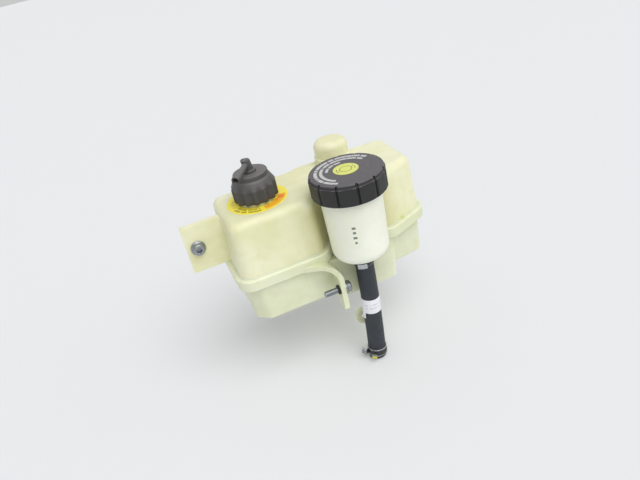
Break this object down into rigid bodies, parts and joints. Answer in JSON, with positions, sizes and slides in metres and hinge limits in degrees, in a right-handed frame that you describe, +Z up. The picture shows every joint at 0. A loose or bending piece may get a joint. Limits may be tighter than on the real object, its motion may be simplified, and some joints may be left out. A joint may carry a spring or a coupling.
{
  "type": "fluid reservoir",
  "caption": "Two-piece welded moulded fluid tank with a vented screw filler cap, and a separate round fluid cup with a wide screw cap and a short rubber outlet hose.",
  "frame": {"origin": "on the axis of the tab's fixing screw, where its free thread starts behind the tab", "axes": "+X to the right along the tank, +Y to the back along the tab screw, +Z up along the cup and the filler neck"},
  "size_m": [0.2367, 0.15, 0.2307],
  "materials": {
    "tank_plastic": "translucent cream moulding",
    "cup_plastic": "translucent white moulding",
    "black_plastic": "satin black",
    "dark_plastic": "satin dark grey",
    "rubber": "matt black rubber",
    "label_yellow": "printed yellow film",
    "label_white": "white film",
    "spring_steel": "dark spring steel",
    "zinc_steel": "grey zinc plate"
  },
  "bodies": {
    "tank": {"tank_upper_shell": "tank_plastic", "tank_lower_shell": "tank_plastic", "neck_label": "label_yellow", "fluid_cup": "cup_plastic", "cup_strainer": "cup_plastic", "outlet_hose": "rubber", "upper_hose_clamp": "spring_steel", "lower_hose_clamp": "spring_steel", "hose_label": "label_white", "tab_screw": "zinc_steel", "tab_sleeve": "zinc_steel", "tab_screw_retainer": "black_plastic", "bracket_screw": "zinc_steel", "bracket_sleeve": "zinc_steel", "bracket_screw_retainer": "black_plastic"},
    "filler_seal": {"filler_cap_seal": "rubber"},
    "filler_cover": {"filler_cap": "dark_plastic", "vent_elbow": "dark_plastic"},
    "cup_seal": {"cup_diaphragm": "rubber"},
    "cup_cover": {"cup_cap": "black_plastic", "cap_disc_label": "label_yellow"}
  },
  "joints": [
    {"name": "filler_cap_lift", "type": "slide", "parent": "tank", "child": "filler_seal", "axis": [0, 0, 1], "range_m": [0, 0.0081]},
    {"name": "filler_cap_turn", "type": "hinge", "parent": "filler_seal", "child": "filler_cover", "pos_m": [0.0667, -0.0123, 0.046], "axis": [0, 0, 1], "range_deg": [0, 720]},
    {"name": "cup_cap_lift", "type": "slide", "parent": "tank", "child": "cup_seal", "axis": [0, 0, 1], "range_m": [0, 0.0061]},
    {"name": "cup_cap_turn", "type": "hinge", "parent": "cup_seal", "child": "cup_cover", "pos_m": [0.14, -0.0665, 0.05], "axis": [0, 0, 1], "range_deg": [0, 540]}
  ],
  "couplings": [
    {"joint": "filler_cap_lift", "follows": "filler_cap_turn", "m_per_rad": 0.00063662},
    {"joint": "cup_cap_lift", "follows": "cup_cap_turn", "m_per_rad": 0.00063662}
  ]
}
